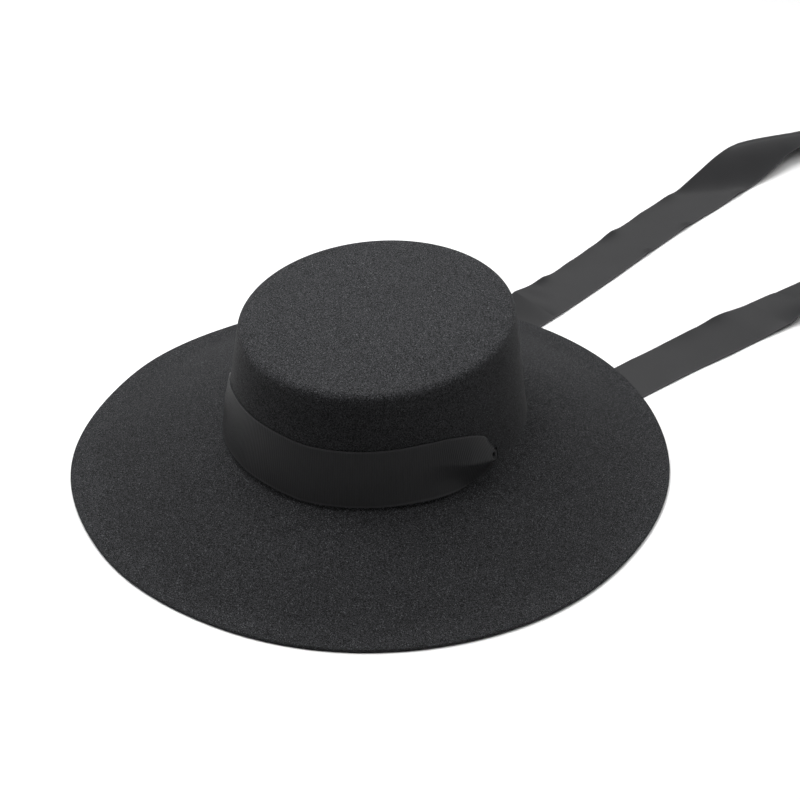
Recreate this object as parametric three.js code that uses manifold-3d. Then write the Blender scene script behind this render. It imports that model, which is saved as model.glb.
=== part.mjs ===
// Wide-brim felt hat with a flat crown, lying on its brim, with a ribbon round the front of the crown.
// The ribbon goes in through a short slit on each side and comes out under the brim as two ties.
// Millimetres, +Z up, the front of the hat towards -Y, the floor at z = 0.

import * as THREE from 'three';
import { mergeVertices } from 'three/addons/utils/BufferGeometryUtils.js';
import Module from 'manifold-3d';

// Felt body: crown and brim are blocked from one piece of felt
const FELT_THICKNESS = 2.2;
const HAT_HEIGHT = 107.6;
const JOINT_HEIGHT = 33.8;
const JOINT_HALF_WIDTH = 89.3;
const JOINT_HALF_LENGTH = 101.3;
const JOINT_RADIUS = 3.5;
const CROWN_LEAN = 9.8;
const CROWN_EDGE_RADIUS = 5;
const BRIM_HALF_WIDTH = 181.4;
const BRIM_HALF_LENGTH = 189.6;

// Ribbon: one width throughout, on the crown and in both ties
const RIBBON_WIDTH = 36;
const RIBBON_THICKNESS = 1;
const BAND_LOWER_EDGE = 36.2;
const GAP = 0.3;

// Slits: one on each side of the crown, just ahead of the ears. Heading is the way round the crown that the
// ribbon runs into it, and puff is the share of the gathers' height that the ribbon has there
const RIGHT_SLIT = { turn: -6, heading: 1, puff: 1 };
const LEFT_SLIT = { turn: -162, heading: -1, puff: 0.15 };
const SLIT_MIDDLE = 42.7;
const SLIT_CLEARANCE = 0.4;
const SLIT_CUT_DEPTH = 9;
const PINCHED_HEIGHT = 8;
const TURN_RADIUS = 2;
const TURN_DEGREES = [30, 60, 90];
const INWARD_RUN = 2;

// Facets
const FACETS_AROUND = 96;
const EDGE_STEPS = 4;
const JOINT_STEPS = 3;
const TIE_STEPS_PER_ROW = 2;

// The cut edge of the brim: turn is degrees from +X, out and lift are departures from a level oval
const RIM_ROWS = [
  { turn: -180, out: -0.4, lift: 0 },
  { turn: -152, out: 3.9, lift: 0 },
  { turn: -120, out: 1.0, lift: 0 },
  { turn: -85, out: 0.3, lift: 0 },
  { turn: -45, out: 1.6, lift: 0.3 },
  { turn: -20, out: -0.6, lift: 0.5 },
  { turn: 12, out: -1.6, lift: 0 },
  { turn: 36, out: -2.0, lift: 0.3 },
  { turn: 56, out: -4.0, lift: 1.5 },
  { turn: 92, out: -3.2, lift: 1.5 },
  { turn: 130, out: -1.6, lift: 0 },
  { turn: 162, out: -3.2, lift: 0 },
];

// The crown top as shares of its flat oval
const TOP_SHARES = [0.4, 0.75];

// The brim's section, which flattens towards the rim: share is of the brim's width, and sag is how far
// it lies below a straight slope
const BRIM_ROWS = [
  { share: 0.22, sag: 0.5 },
  { share: 0.44, sag: 1.1 },
  { share: 0.64, sag: 1.8 },
  { share: 0.78, sag: 2.3 },
  { share: 0.9, sag: 1.4 },
  { share: 1, sag: 0 },
];

// The ribbon's gathers near a slit: back is degrees before the slit, low, ridge and high are heights above
// the band's lower edge, and puff is how far the folded ridge stands out from the crown
const GATHER_ROWS = [
  { back: 0, low: 2.5, ridge: 6.5, high: 10.5, puff: 0.4 },
  { back: 1.5, low: 2.4, ridge: 7, high: 14, puff: 2.0 },
  { back: 4, low: 2.0, ridge: 8, high: 20, puff: 3.4 },
  { back: 7, low: 1.0, ridge: 9.8, high: 25, puff: 4.2 },
  { back: 12, low: 0.2, ridge: 12.8, high: 28.5, puff: 4.2 },
  { back: 18, low: 0, ridge: 16.3, high: 31, puff: 3.2 },
  { back: 25, low: 0, ridge: 18.5, high: 33.5, puff: 1.7 },
  { back: 33, low: 0, ridge: 18.5, high: 35.2, puff: 0.5 },
  { back: 42, low: 0, ridge: 18, high: RIBBON_WIDTH, puff: 0 },
];
const BAND_BACKS = [42, 38, 33, 29, 25, 21, 18, 15, 12, 9.5, 7, 5.5, 4, 2.7, 1.5, 0];
const BAND_ACROSS = [
  { from: 'low', share: 0, puff: 0 },
  { from: 'low', share: 0.55, puff: 0.65 },
  { from: 'ridge', share: 0, puff: 1 },
  { from: 'ridge', share: 0.3, puff: 0.8 },
  { from: 'ridge', share: 0.65, puff: 0.42 },
  { from: 'ridge', share: 1, puff: 0 },
];

// Ties: the ribbon's middle line, its lean (degrees, plus lifts the right edge) and its width at each row
const RIGHT_TIE_ROWS = [
  { x: 84.25, y: -8.15, z: 42.7, lean: 90, wide: 8 },
  { x: 80.2, y: -7.8, z: 42.2, lean: 90, wide: 9 },
  { x: 75, y: -4.5, z: 39.5, lean: 88, wide: 15 },
  { x: 71, y: 4, z: 34, lean: 80, wide: 24 },
  { x: 68, y: 16, z: 27, lean: 66, wide: 32 },
  { x: 66.5, y: 30, z: 18.5, lean: 46, wide: RIBBON_WIDTH },
  { x: 66.5, y: 45, z: 11, lean: 27, wide: RIBBON_WIDTH },
  { x: 68, y: 60, z: 5.5, lean: 12, wide: RIBBON_WIDTH },
  { x: 70.5, y: 76, z: 2.2, lean: 4, wide: RIBBON_WIDTH },
  { x: 74, y: 93, z: 0.7, lean: 0, wide: RIBBON_WIDTH },
  { x: 79.5, y: 112, z: 0.6, lean: 0, wide: RIBBON_WIDTH },
  { x: 86.5, y: 132, z: 0.6, lean: 0, wide: RIBBON_WIDTH },
  { x: 94, y: 152, z: 0.6, lean: 0, wide: RIBBON_WIDTH },
  { x: 102, y: 175, z: 0.6, lean: 0, wide: RIBBON_WIDTH },
  { x: 111.5, y: 202, z: 0.6, lean: 0, wide: RIBBON_WIDTH },
  { x: 122.5, y: 230, z: 1.3, lean: -2, wide: RIBBON_WIDTH },
  { x: 132.5, y: 257.5, z: 1.9, lean: -4, wide: RIBBON_WIDTH },
  { x: 142.5, y: 282.5, z: 2, lean: 1, wide: RIBBON_WIDTH },
  { x: 151, y: 304.5, z: 6, lean: 16, wide: RIBBON_WIDTH },
  { x: 159.5, y: 326.5, z: 6.2, lean: 17, wide: RIBBON_WIDTH },
  { x: 167, y: 348, z: 4, lean: 10, wide: RIBBON_WIDTH },
];
const LEFT_TIE_ROWS = [
  { x: -80.94, y: -28.06, z: 42.7, lean: -90, wide: 8 },
  { x: -77.03, y: -26.94, z: 42.2, lean: -90, wide: 9 },
  { x: -72.2, y: -22.5, z: 39.5, lean: -88, wide: 15 },
  { x: -69, y: -12, z: 35, lean: -80, wide: 24 },
  { x: -66.5, y: 2, z: 30, lean: -70, wide: 30 },
  { x: -64.5, y: 17, z: 24, lean: -58, wide: 34 },
  { x: -62.5, y: 32, z: 18, lean: -46, wide: RIBBON_WIDTH },
  { x: -57.5, y: 48, z: 11, lean: -27, wide: RIBBON_WIDTH },
  { x: -52, y: 65, z: 5.5, lean: -12, wide: RIBBON_WIDTH },
  { x: -46, y: 83, z: 2.2, lean: -4, wide: RIBBON_WIDTH },
  { x: -39, y: 102, z: 0.7, lean: 0, wide: RIBBON_WIDTH },
  { x: -31, y: 122, z: 0.6, lean: 0, wide: RIBBON_WIDTH },
  { x: -22, y: 142, z: 0.6, lean: 0, wide: RIBBON_WIDTH },
  { x: -12.5, y: 162, z: 0.9, lean: 0, wide: RIBBON_WIDTH },
  { x: -2.5, y: 187, z: 0.7, lean: 0, wide: RIBBON_WIDTH },
  { x: 2.5, y: 208, z: 3.6, lean: -9, wide: RIBBON_WIDTH },
  { x: 6.5, y: 231, z: 1.2, lean: -1, wide: RIBBON_WIDTH },
  { x: 13.5, y: 274, z: 0.6, lean: 0, wide: RIBBON_WIDTH },
  { x: 20.5, y: 322, z: 0.6, lean: 0, wide: RIBBON_WIDTH },
  { x: 28.5, y: 370, z: 0.8, lean: 0, wide: RIBBON_WIDTH },
  { x: 35.1, y: 401, z: 1.1, lean: -1, wide: RIBBON_WIDTH },
  { x: 39.3, y: 423.3, z: 3.4, lean: -9, wide: RIBBON_WIDTH },
  { x: 43.8, y: 445.3, z: 6.4, lean: -13, wide: RIBBON_WIDTH },
  { x: 49, y: 466.7, z: 9.1, lean: -7, wide: RIBBON_WIDTH },
  { x: 53, y: 487.4, z: 9.2, lean: 6, wide: RIBBON_WIDTH },
  { x: 60, y: 505.5, z: 7.6, lean: 14, wide: RIBBON_WIDTH },
  { x: 69, y: 522.5, z: 5.6, lean: 14, wide: RIBBON_WIDTH },
  { x: 81.5, y: 535, z: 2.7, lean: 6, wide: RIBBON_WIDTH },
  { x: 98.5, y: 542, z: 0.8, lean: 0, wide: RIBBON_WIDTH },
];

const { clamp, degToRad, lerp } = THREE.MathUtils;
const crownHeight = HAT_HEIGHT - JOINT_HEIGHT;
const brimWidth = BRIM_HALF_WIDTH - JOINT_HALF_WIDTH;
const lengthwise = (BRIM_HALF_LENGTH - JOINT_HALF_LENGTH) / brimWidth;

// The brim's departure at a turn, on a smooth step between the two table rows beside it
function rimValue(turn, column) {
  const first = RIM_ROWS[0];
  const rows = [...RIM_ROWS, { ...first, turn: first.turn + 360 }];
  const index = rows.findIndex((row, i) => i > 0 && turn <= row.turn);
  const before = rows[index - 1];
  const after = rows[index];
  const share = (turn - before.turn) / (after.turn - before.turn);
  const ease = share * share * (3 - 2 * share);
  return lerp(before[column], after[column], ease);
}

// A gather's measure at a distance before the slit, in a straight line between table rows
function gatherValue(back, column) {
  const last = GATHER_ROWS[GATHER_ROWS.length - 1];
  if (back >= last.back) return last[column];
  const index = GATHER_ROWS.findIndex((row) => back < row.back);
  const before = GATHER_ROWS[index - 1];
  const after = GATHER_ROWS[index];
  const share = (back - before.back) / (after.back - before.back);
  return lerp(before[column], after[column], share);
}

// One point of the felt's outer section: out is measured from the joint oval, and the normal points outwards
function sectionPoint(out, height, normalOut, normalUp, share = 1) {
  const length = Math.hypot(normalOut, normalUp);
  return { out, height, share, normalOut: normalOut / length, normalUp: normalUp / length };
}

// An arc of the section about a centre, from one normal angle to another; side is 1 for a convex corner
function sectionArc(centre, radius, fromAngle, toAngle, steps, side) {
  const reach = side * radius;
  const points = [];
  for (let step = 0; step <= steps; step += 1) {
    const angle = lerp(fromAngle, toAngle, step / steps);
    const across = Math.cos(angle);
    const up = Math.sin(angle);
    points.push(sectionPoint(centre.out + reach * across, centre.height + reach * up, across, up));
  }
  return points;
}

// The outer section: the flat crown top, its rounded edge, the leaning wall, and out along the brim
function feltSection() {
  const upward = Math.PI / 2;
  const wallNormal = Math.atan2(CROWN_LEAN, crownHeight);
  const rimTop = FELT_THICKNESS * Math.cos(Math.atan2(JOINT_HEIGHT, brimWidth));
  const slope = Math.atan2(JOINT_HEIGHT - rimTop, brimWidth);
  const brimNormal = upward - slope;

  const edgeReach = CROWN_EDGE_RADIUS * Math.tan((upward - wallNormal) / 2);
  const edgeCentre = { out: -CROWN_LEAN - edgeReach, height: HAT_HEIGHT - CROWN_EDGE_RADIUS };
  const edge = sectionArc(edgeCentre, CROWN_EDGE_RADIUS, upward, wallNormal, EDGE_STEPS, 1);
  const top = TOP_SHARES.map((share) => sectionPoint(edgeCentre.out, HAT_HEIGHT, 0, 1, share));

  const middleNormal = (wallNormal + brimNormal) / 2;
  const centreReach = JOINT_RADIUS / Math.cos((brimNormal - wallNormal) / 2);
  const jointCentre = {
    out: centreReach * Math.cos(middleNormal),
    height: JOINT_HEIGHT + centreReach * Math.sin(middleNormal),
  };
  const joint = sectionArc(jointCentre, JOINT_RADIUS, wallNormal, brimNormal, JOINT_STEPS, -1);

  const brim = BRIM_ROWS.map(({ share, sag }) => {
    const height = lerp(JOINT_HEIGHT, rimTop, share) - sag;
    return sectionPoint(brimWidth * share, height, Math.cos(brimNormal), Math.sin(brimNormal));
  });
  return [...top, ...edge, ...joint, ...brim];
}

// The place of a section point at a turn round the hat; the rim's departures fade out towards the crown
function feltPlace(point, inward, turn) {
  const out = point.out - inward * point.normalOut;
  const onBrim = clamp(point.out / brimWidth, 0, 1) ** 2;
  const reach = out + onBrim * rimValue(turn, 'out');
  const stretch = reach > 0 ? lengthwise : 1;
  const angle = degToRad(turn);
  return new THREE.Vector3(
    point.share * (JOINT_HALF_WIDTH + reach) * Math.cos(angle),
    point.share * (JOINT_HALF_LENGTH + reach * stretch) * Math.sin(angle),
    point.height - inward * point.normalUp + onBrim * rimValue(turn, 'lift'),
  );
}

// A surface over rings of equal length; a ring of one point is a pole
function geometryFromRings(rings) {
  const positions = [];
  const starts = rings.map((ring) => {
    const start = positions.length / 3;
    ring.forEach((place) => positions.push(place.x, place.y, place.z));
    return start;
  });
  const triangles = [];
  const joinRings = (lower, upper) => {
    const count = Math.max(rings[lower].length, rings[upper].length);
    for (let i = 0; i < count; i += 1) {
      const next = (i + 1) % count;
      const a = starts[lower] + (rings[lower].length > 1 ? i : 0);
      const b = starts[lower] + (rings[lower].length > 1 ? next : 0);
      const c = starts[upper] + (rings[upper].length > 1 ? next : 0);
      const d = starts[upper] + (rings[upper].length > 1 ? i : 0);
      if (a !== b) triangles.push(a, b, c);
      if (c !== d) triangles.push(a, c, d);
    }
  };
  for (let index = 0; index + 1 < rings.length; index += 1) joinRings(index, index + 1);
  const geometry = new THREE.BufferGeometry();
  geometry.setAttribute('position', new THREE.Float32BufferAttribute(positions, 3));
  geometry.setIndex(triangles);
  return geometry;
}

// The felt as one wall: up its inside from the pole, round the rim, and back up its outside
function feltGeometry() {
  const section = feltSection();
  const turns = Array.from({ length: FACETS_AROUND }, (_, i) => -180 + (i * 360) / FACETS_AROUND);
  const ring = (point, inward) => turns.map((turn) => feltPlace(point, inward, turn));
  const outerPole = [new THREE.Vector3(0, 0, HAT_HEIGHT)];
  const innerPole = [new THREE.Vector3(0, 0, HAT_HEIGHT - FELT_THICKNESS)];
  const outer = section.map((point) => ring(point, 0));
  const inner = section.map((point) => ring(point, FELT_THICKNESS));
  return geometryFromRings([innerPole, ...inner, ...outer.reverse(), outerPole]);
}

// The crown wall at a height: its half width and half length, grown outwards by an offset
function wallOval(height, offset) {
  const inset = (CROWN_LEAN * (height - JOINT_HEIGHT)) / crownHeight;
  return { width: JOINT_HALF_WIDTH - inset + offset, length: JOINT_HALF_LENGTH - inset + offset };
}

function wallPlace(turn, height, offset) {
  const oval = wallOval(height, offset);
  const angle = degToRad(turn);
  return new THREE.Vector3(oval.width * Math.cos(angle), oval.length * Math.sin(angle), height);
}

// A slit: its place on the wall, the way out of the wall, and the way the ribbon runs along the wall into it
function slitFrame(slit) {
  const oval = wallOval(SLIT_MIDDLE, 0);
  const angle = degToRad(slit.turn);
  const outward = new THREE.Vector3(Math.cos(angle) / oval.width, Math.sin(angle) / oval.length, 0);
  outward.normalize();
  const along = new THREE.Vector3(-outward.y, outward.x, 0).multiplyScalar(slit.heading);
  return { place: wallPlace(slit.turn, SLIT_MIDDLE, 0), outward, along };
}

// The tool that cuts a slit through the felt
function slitCutter(slit) {
  const frame = slitFrame(slit);
  const wide = TURN_RADIUS + RIBBON_THICKNESS / 2 + SLIT_CLEARANCE;
  const cutter = new THREE.BoxGeometry(SLIT_CUT_DEPTH, wide, PINCHED_HEIGHT + 2 * SLIT_CLEARANCE);
  cutter.rotateZ(Math.atan2(frame.outward.y, frame.outward.x));
  const middle = frame.place.clone().addScaledVector(frame.along, wide / 2);
  cutter.translate(middle.x, middle.y, middle.z);
  return cutter;
}

// One station of the band: a row of places across the ribbon's middle surface, from its lower edge up
function bandRow(slit, turn, back) {
  const rest = GAP + RIBBON_THICKNESS / 2;
  const standOut = slit.puff * gatherValue(back, 'puff');
  const ridge = gatherValue(back, 'ridge');
  const spans = {
    low: [gatherValue(back, 'low'), ridge],
    ridge: [ridge, gatherValue(back, 'high')],
  };
  return BAND_ACROSS.map(({ from, share, puff }) => {
    const height = BAND_LOWER_EDGE + lerp(...spans[from], share);
    return wallPlace(turn, height, rest + puff * standOut);
  });
}

// Half of the band, from the front to a slit, then round its turn and in through the felt
function bandHalf(slit) {
  const step = 360 / FACETS_AROUND;
  const frontTurn = (LEFT_SLIT.turn + RIGHT_SLIT.turn) / 2;
  const plainTurn = Math.abs(slit.turn - frontTurn) - BAND_BACKS[0];
  const rows = [];
  for (let turned = 0; turned <= plainTurn; turned += step) {
    rows.push(bandRow(slit, frontTurn + slit.heading * turned, BAND_BACKS[0]));
  }
  BAND_BACKS.slice(1).forEach((back) => {
    rows.push(bandRow(slit, slit.turn - slit.heading * back, back));
  });
  const frame = slitFrame(slit);
  const lastRow = rows[rows.length - 1];
  const inRound = (angle, run) => lastRow.map((place) => place.clone()
    .addScaledVector(frame.along, TURN_RADIUS * Math.sin(angle))
    .addScaledVector(frame.outward, -TURN_RADIUS * (1 - Math.cos(angle)) - run));
  TURN_DEGREES.forEach((degrees) => rows.push(inRound(degToRad(degrees), 0)));
  rows.push(inRound(Math.PI / 2, INWARD_RUN));
  return rows;
}

// Give a sheet of places its thickness: each row becomes a closed ring round the strip
function thickRing(row, before, after) {
  const normals = row.map((place, j) => {
    const along = after[j].clone().sub(before[j]);
    const across = row[Math.min(j + 1, row.length - 1)].clone().sub(row[Math.max(j - 1, 0)]);
    return along.cross(across).normalize();
  });
  const half = RIBBON_THICKNESS / 2;
  const outer = row.map((place, j) => place.clone().addScaledVector(normals[j], half));
  const inner = row.map((place, j) => place.clone().addScaledVector(normals[j], -half));
  return [...inner, ...outer.reverse()];
}

// A strip solid from its rows, with flat ends
function stripGeometry(rows) {
  const last = rows.length - 1;
  const rings = rows.map((row, i) => {
    const before = rows[Math.max(i - 1, 0)];
    const after = rows[Math.min(i + 1, last)];
    return thickRing(row, before, after);
  });
  const geometry = geometryFromRings(rings);
  const triangles = [...geometry.index.array];
  const around = rings[0].length;
  for (let j = 0; j + 1 < around / 2; j += 1) {
    const far = around - 1 - j;
    triangles.push(j + 1, j, far, j + 1, far, far - 1);
    const end = [j, j + 1, far - 1, far].map((index) => last * around + index);
    triangles.push(end[0], end[1], end[2], end[0], end[2], end[3]);
  }
  geometry.setIndex(triangles);
  return geometry;
}

function bandGeometry() {
  const left = bandHalf(LEFT_SLIT);
  const right = bandHalf(RIGHT_SLIT);
  return stripGeometry([...left.slice(1).reverse(), ...right]);
}

// A tie from its rows: a flat strip on a smooth line, leaning and widening as the rows say
function tieGeometry(tieRows) {
  const line = new THREE.CatmullRomCurve3(tieRows.map((row) => new THREE.Vector3(row.x, row.y, row.z)));
  const up = new THREE.Vector3(0, 0, 1);
  const steps = (tieRows.length - 1) * TIE_STEPS_PER_ROW;
  const rows = [];
  for (let step = 0; step <= steps; step += 1) {
    const share = step / steps;
    const index = Math.min(Math.floor(step / TIE_STEPS_PER_ROW), tieRows.length - 2);
    const within = step / TIE_STEPS_PER_ROW - index;
    const lean = degToRad(lerp(tieRows[index].lean, tieRows[index + 1].lean, within));
    const half = lerp(tieRows[index].wide, tieRows[index + 1].wide, within) / 2;
    const middle = line.getPoint(share);
    const along = line.getTangent(share);
    const right = along.clone().cross(up).normalize();
    const above = right.clone().cross(along);
    const across = right.multiplyScalar(Math.cos(lean)).addScaledVector(above, Math.sin(lean));
    rows.push([-half, 0, half].map((reach) => middle.clone().addScaledVector(across, reach)));
  }
  return stripGeometry(rows);
}

// Cutting one closed shape from another
const solids = await Module();
solids.setup();

function toSolid(geometry) {
  const bare = geometry.clone();
  bare.deleteAttribute('normal');
  bare.deleteAttribute('uv');
  const merged = mergeVertices(bare);
  return new solids.Manifold(new solids.Mesh({
    numProp: 3,
    vertProperties: new Float32Array(merged.attributes.position.array),
    triVerts: new Uint32Array(merged.index.array),
  }));
}

function toGeometry(solid) {
  const mesh = solid.getMesh();
  const geometry = new THREE.BufferGeometry();
  geometry.setAttribute('position', new THREE.Float32BufferAttribute(mesh.vertProperties, 3));
  geometry.setIndex([...mesh.triVerts]);
  return geometry;
}

function slitFeltGeometry() {
  let body = toSolid(feltGeometry());
  [RIGHT_SLIT, LEFT_SLIT].forEach((slit) => {
    body = body.subtract(toSolid(slitCutter(slit)));
  });
  return toGeometry(body);
}

const felt = new THREE.MeshStandardMaterial({ color: '#2b2c2e', roughness: 0.95, metalness: 0 });
const ribbon = new THREE.MeshStandardMaterial({ color: '#303134', roughness: 0.7, metalness: 0 });

const hat = new THREE.Group();

function addPiece(name, geometry, material) {
  geometry.computeVertexNormals();
  const mesh = new THREE.Mesh(geometry, material);
  mesh.name = name;
  hat.add(mesh);
}

addPiece('felt_body', slitFeltGeometry(), felt);
addPiece('ribbon_band', bandGeometry(), ribbon);
addPiece('ribbon_tie_left', tieGeometry(LEFT_TIE_ROWS), ribbon);
addPiece('ribbon_tie_right', tieGeometry(RIGHT_TIE_ROWS), ribbon);

export default hat;
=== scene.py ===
"""A wide-brim felt hat with a grosgrain ribbon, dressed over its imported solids.

The felt is drawn out ring by ring from one small circle at the middle of the crown. The ribbon runs round the
front of the crown, goes in through a slit on each side, and comes out under the brim as two ties.
Metres, +Z up, the front of the hat towards -Y, the floor at z = 0.
"""

import math
from collections import namedtuple

import bmesh
import bpy
import numpy as np
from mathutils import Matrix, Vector


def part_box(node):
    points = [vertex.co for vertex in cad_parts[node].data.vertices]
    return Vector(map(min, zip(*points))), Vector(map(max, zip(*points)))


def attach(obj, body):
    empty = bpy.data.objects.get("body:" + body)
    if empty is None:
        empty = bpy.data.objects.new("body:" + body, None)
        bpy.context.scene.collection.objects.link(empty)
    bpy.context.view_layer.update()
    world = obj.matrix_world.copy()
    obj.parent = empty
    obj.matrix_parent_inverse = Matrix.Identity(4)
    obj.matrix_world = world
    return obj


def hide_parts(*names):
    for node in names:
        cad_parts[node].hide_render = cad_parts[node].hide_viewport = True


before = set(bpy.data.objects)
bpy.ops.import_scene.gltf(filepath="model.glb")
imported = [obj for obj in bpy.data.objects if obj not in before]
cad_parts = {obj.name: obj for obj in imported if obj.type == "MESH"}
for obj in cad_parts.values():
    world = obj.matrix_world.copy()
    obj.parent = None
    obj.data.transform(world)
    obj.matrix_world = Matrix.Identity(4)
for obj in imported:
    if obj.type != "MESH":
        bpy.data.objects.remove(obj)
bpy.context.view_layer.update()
FELT_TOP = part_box("felt_body")[1].z

bl_info = {
    "name": "Wide-brim hat",
    "version": (1, 0, 0),
    "blender": (4, 5, 0),
    "location": "3D View > Sidebar > Hat",
    "description": "Models a felt hat with a ribbon and ties, and the studio that it is seen in",
    "category": "Object",
}


# Sizes, colours and light that a user would change

def length(name, description, default):
    return bpy.props.FloatProperty(
        name=name, description=description, default=default, unit="LENGTH", precision=4)


def colour(name, description, default):
    return bpy.props.FloatVectorProperty(
        name=name, description=description, default=default, subtype="COLOR", size=3, min=0, max=1)


def number(name, description, default):
    return bpy.props.FloatProperty(name=name, description=description, default=default, precision=3)


class FeltSizes(bpy.types.PropertyGroup):
    """The crown and brim, blocked from one piece of felt"""
    thickness: length("Thickness", "Thickness of the felt", 0.0022)
    height: length("Height", "Floor to crown top", FELT_TOP)
    joint_height: length("Joint height", "Height of the corner where crown and brim meet", 0.0338)
    joint_half_width: length("Joint half width", "Half the crown's width at the joint", 0.0893)
    joint_half_length: length("Joint half length", "Half the crown's length at the joint", 0.1013)
    joint_radius: length("Joint radius", "Hollow corner between crown and brim", 0.0035)
    crown_lean: length("Crown lean", "How far the crown wall leans in by its top", 0.0098)
    edge_radius: length("Edge radius", "Rounded edge of the crown top", 0.005)
    brim_half_width: length("Brim half width", "Half the brim's width", 0.1814)
    brim_half_length: length("Brim half length", "Half the brim's length", 0.1896)
    dome: length("Dome", "How far the crown top swells above its edge", 0.002)
    waves: length("Waves", "Depth of the felt's slow unevenness", 0.0016)


class RibbonSizes(bpy.types.PropertyGroup):
    """The ribbon, one width on the crown and in both ties"""
    width: length("Width", "Width of the ribbon", 0.036)
    thickness: length("Thickness", "Thickness of the ribbon", 0.0006)
    lower_edge: length("Lower edge", "Height of the band's lower edge above the floor", 0.0362)
    stand_off: length("Stand-off", "From the felt to the middle of the band's thickness", 0.0005)
    rib_pitch: length("Rib pitch", "From one cross rib to the next", 0.0014)
    rib_height: length("Rib height", "Half the height of a cross rib", 0.00004)


class HatColours(bpy.types.PropertyGroup):
    """Colours of the hat"""
    felt: colour("Felt", "Charcoal of the felt", (0.0030, 0.0031, 0.0033))
    felt_nap: colour("Felt nap", "Lighter fibres that stand up from the felt", (0.0270, 0.0275, 0.0294))
    felt_fleck: colour("Felt fleck", "Few pale fibres in the felt", (0.106, 0.108, 0.115))
    ribbon: colour("Ribbon", "Charcoal of the ribbon", (0.0222, 0.0223, 0.0235))
    floor: colour("Floor", "White of the studio floor", (0.9, 0.9, 0.9))


class StudioSettings(bpy.types.PropertyGroup):
    """Camera and lights of the studio"""
    camera_place: bpy.props.FloatVectorProperty(
        name="Camera place", description="Where the camera stands", subtype="XYZ", unit="LENGTH",
        default=(0.6526, -1.1303, 0.9266))
    camera_turn: bpy.props.FloatVectorProperty(
        name="Camera turn", description="How the camera is turned", subtype="EULER",
        default=(math.radians(55.97), math.radians(-0.87), math.radians(29.96)))
    lens: number("Lens", "Focal length in millimetres on a 36 mm sensor", 116.4)
    left_power: number("Left softbox", "Power of the softbox high behind the left, in watts", 11.3)
    side_power: number("Side softbox", "Power of the softbox high on the left, in watts", 4.1)
    right_power: number("Right softbox", "Power of the softbox high on the right, in watts", 5.7)
    fill_power: number("Right fill", "Power of the weak low light on the right, in watts", 0.9)
    back_power: number("Back panel", "Power of the large panel behind the hat, in watts", 18.6)
    room: number("Room light", "Strength of the even light of the room", 0.0)


# The felt: outer section and departures of the rim

FELT_FACETS = 128
TOP_SHARES = (0.08, 0.25, 0.45, 0.65, 0.82, 0.94)
EDGE_STEPS = 7
WALL_STEPS = 9
JOINT_STEPS = 5
BRIM_SHARES = (0.05, 0.10, 0.17, 0.25, 0.33, 0.41, 0.49, 0.57, 0.65, 0.73, 0.81, 0.88, 0.94, 0.98, 1.0)

# The brim's section: how far it lies below a straight slope, because it flattens towards the rim
BrimRow = namedtuple("BrimRow", "share sag")
BRIM_ROWS = (
    BrimRow(0.0, 0.0),
    BrimRow(0.22, 0.0005),
    BrimRow(0.44, 0.0011),
    BrimRow(0.64, 0.0018),
    BrimRow(0.78, 0.0023),
    BrimRow(0.9, 0.0014),
    BrimRow(1.0, 0.0),
)

# Where the crown's edge has worn rounder: inward and down are how far the edge is pushed
EdgePush = namedtuple("EdgePush", "turn inward down")
EDGE_PUSH_REACH = 0.034
EDGE_PUSHES = (
    EdgePush(-46, 0.0016, 0.0018),
    EdgePush(-27, 0.002, 0.0022),
    EdgePush(-8, 0.0012, 0.0014),
)

# Where the rim isn't a level oval: turn is degrees from +X, out and lift how far the rim is pulled
RimPull = namedtuple("RimPull", "turn out lift", defaults=(0,))
RIM_PULL_REACH = 0.096
RIM_PULLS = (
    RimPull(-180, 0.0009),
    RimPull(-150, 0.0038),
    RimPull(-120, 0.0009),
    RimPull(-90, -0.0015),
    RimPull(-60, -0.0011, 0.0002),
    RimPull(-30, -0.001, 0.0004),
    RimPull(0, -0.0026, 0.0002),
    RimPull(30, -0.0014, 0.0003),
    RimPull(60, -0.002, 0.0015),
    RimPull(90, -0.0032, 0.0015),
    RimPull(120, -0.0019, 0.0003),
    RimPull(150, -0.0038),
)

# Slits: turn is degrees from +X, heading the way round the crown that the ribbon runs into it, puff the share
# of the gathers there, rise the share of the band's rise towards it, and hole the share of the open fold
Slit = namedtuple("Slit", "turn heading puff rise hole")
RIGHT_SLIT = Slit(-6, 1, 1.0, 0.0, 1)
LEFT_SLIT = Slit(-162, -1, 0.15, 1.0, 0)
FRONT_TURN = (LEFT_SLIT.turn + RIGHT_SLIT.turn) / 2
# The height of a slit's middle, and its size through the wall, along it and up it
SLIT_MIDDLE = 0.0427
SLIT_SIZE = (0.009, 0.0026, 0.0088)
# The ribbon's bend into a slit, and how far it then runs inward
TURN_RADIUS = 0.002
INWARD_RUN = 0.002

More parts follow.
